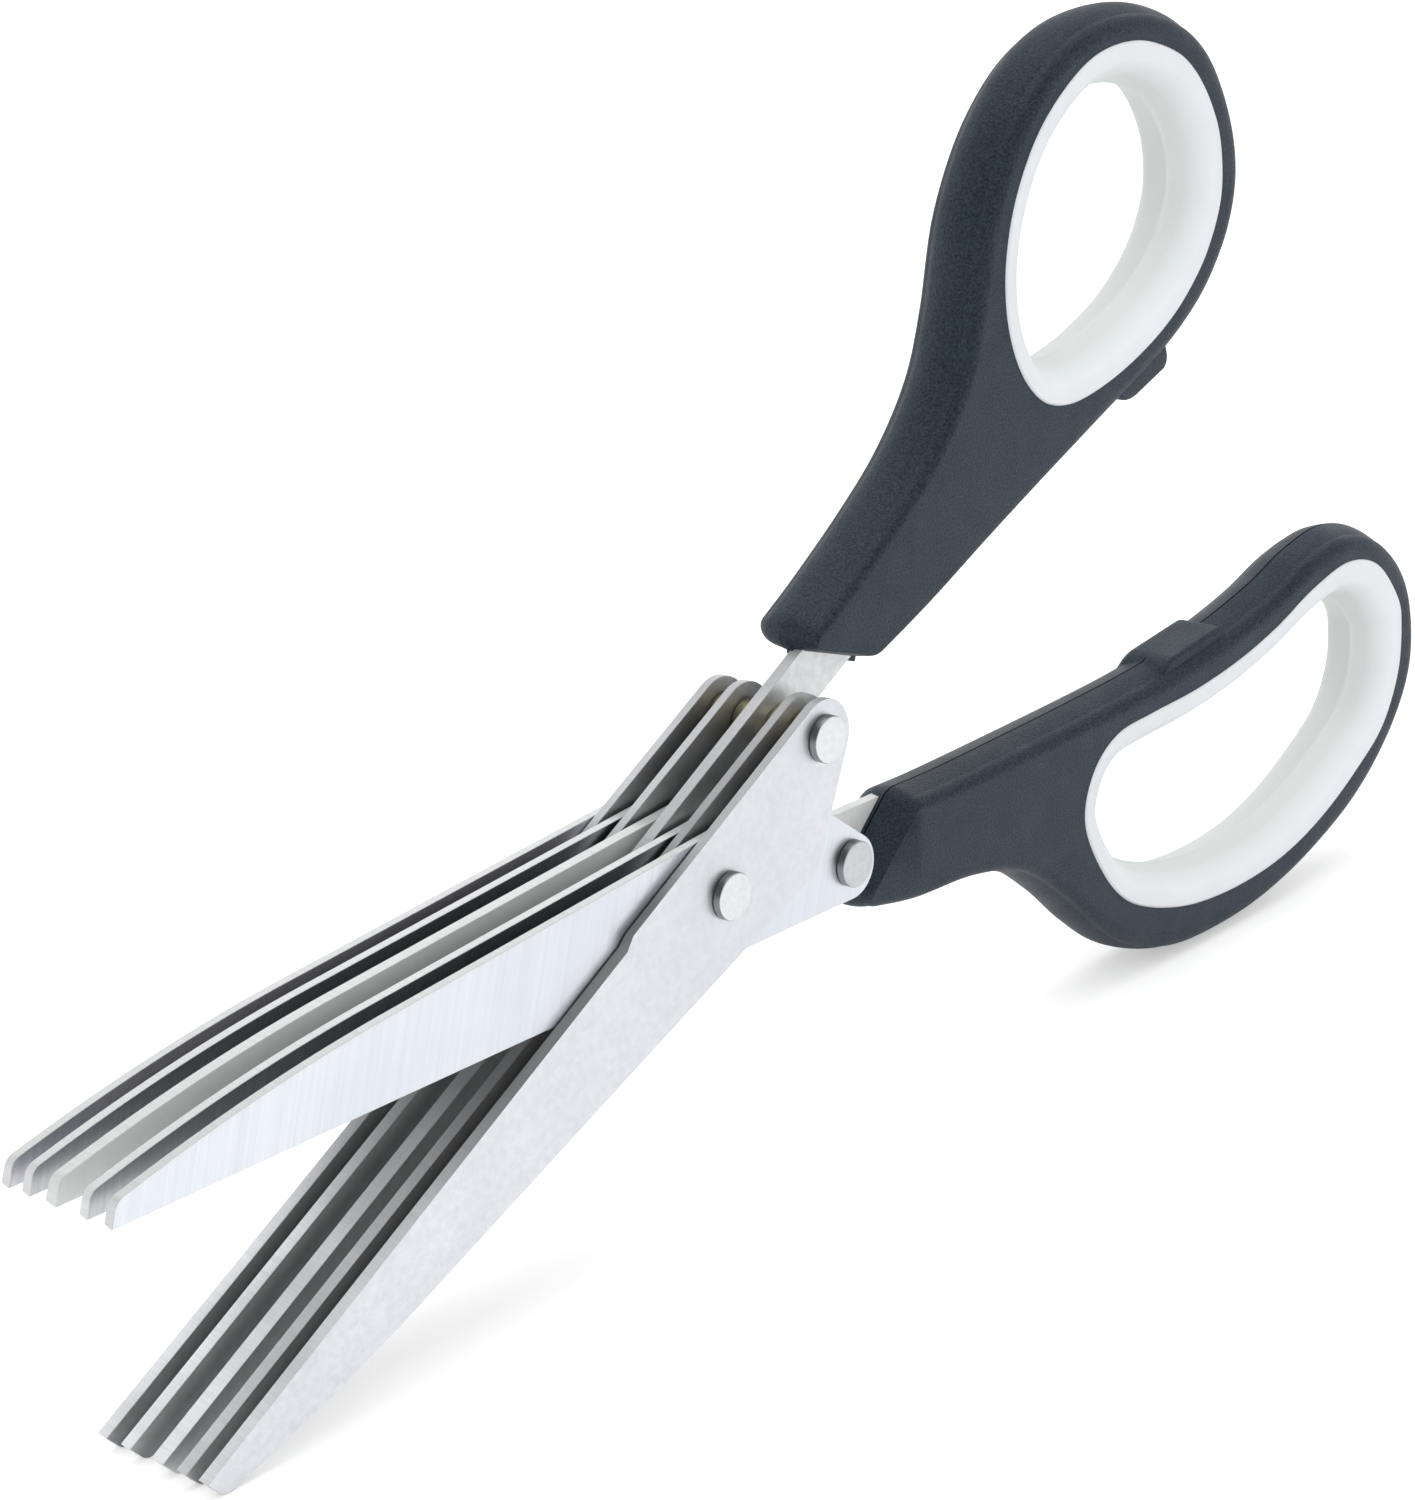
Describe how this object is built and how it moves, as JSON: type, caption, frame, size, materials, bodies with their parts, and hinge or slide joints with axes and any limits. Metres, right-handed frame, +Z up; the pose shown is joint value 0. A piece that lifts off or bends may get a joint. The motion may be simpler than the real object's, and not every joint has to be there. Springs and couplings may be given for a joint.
{
  "type": "herb scissors",
  "caption": "Herb scissors with interleaved blades on one pivot rivet, spaced tail rivets and two lined loop handles.",
  "frame": {"origin": "centre of the bounding box in X and Y, on the floor that the open scissors stand on", "axes": "+X from the blade tips towards the handles, +Y along the pivot from the thumb half's front blade to the back, +Z up"},
  "size_m": [0.1956, 0.0156, 0.1008],
  "materials": {
    "blade_steel": "brushed",
    "rivet_steel": "satin",
    "brass": "satin",
    "hard_plastic": "fine texture",
    "soft_liner": "satin, slightly translucent"
  },
  "bodies": {
    "finger_half": {"finger_blade_1": "blade_steel", "finger_blade_2": "blade_steel", "finger_blade_3": "blade_steel", "finger_blade_4": "blade_steel", "finger_blade_5": "blade_steel", "finger_tail_spacer_1": "brass", "finger_tail_spacer_2": "brass", "finger_tail_spacer_3": "brass", "finger_tail_spacer_4": "brass", "finger_tail_rivet": "rivet_steel", "pivot_rivet": "rivet_steel", "pivot_spacer_1": "brass", "pivot_spacer_2": "brass", "pivot_spacer_3": "brass", "pivot_spacer_4": "brass", "finger_handle": "hard_plastic", "finger_liner": "soft_liner"},
    "thumb_half": {"thumb_blade_1": "blade_steel", "thumb_blade_2": "blade_steel", "thumb_blade_3": "blade_steel", "thumb_blade_4": "blade_steel", "thumb_blade_5": "blade_steel", "thumb_tail_spacer_1": "brass", "thumb_tail_spacer_2": "brass", "thumb_tail_spacer_3": "brass", "thumb_tail_spacer_4": "brass", "thumb_tail_rivet": "rivet_steel", "thumb_handle": "hard_plastic", "thumb_liner": "soft_liner"}
  },
  "joints": [
    {"name": "pivot", "type": "hinge", "parent": "finger_half", "child": "thumb_half", "pos_m": [-0.02798, 0, 0.03103], "axis": [0, -1, 0], "range_deg": [-22, 25]}
  ]
}
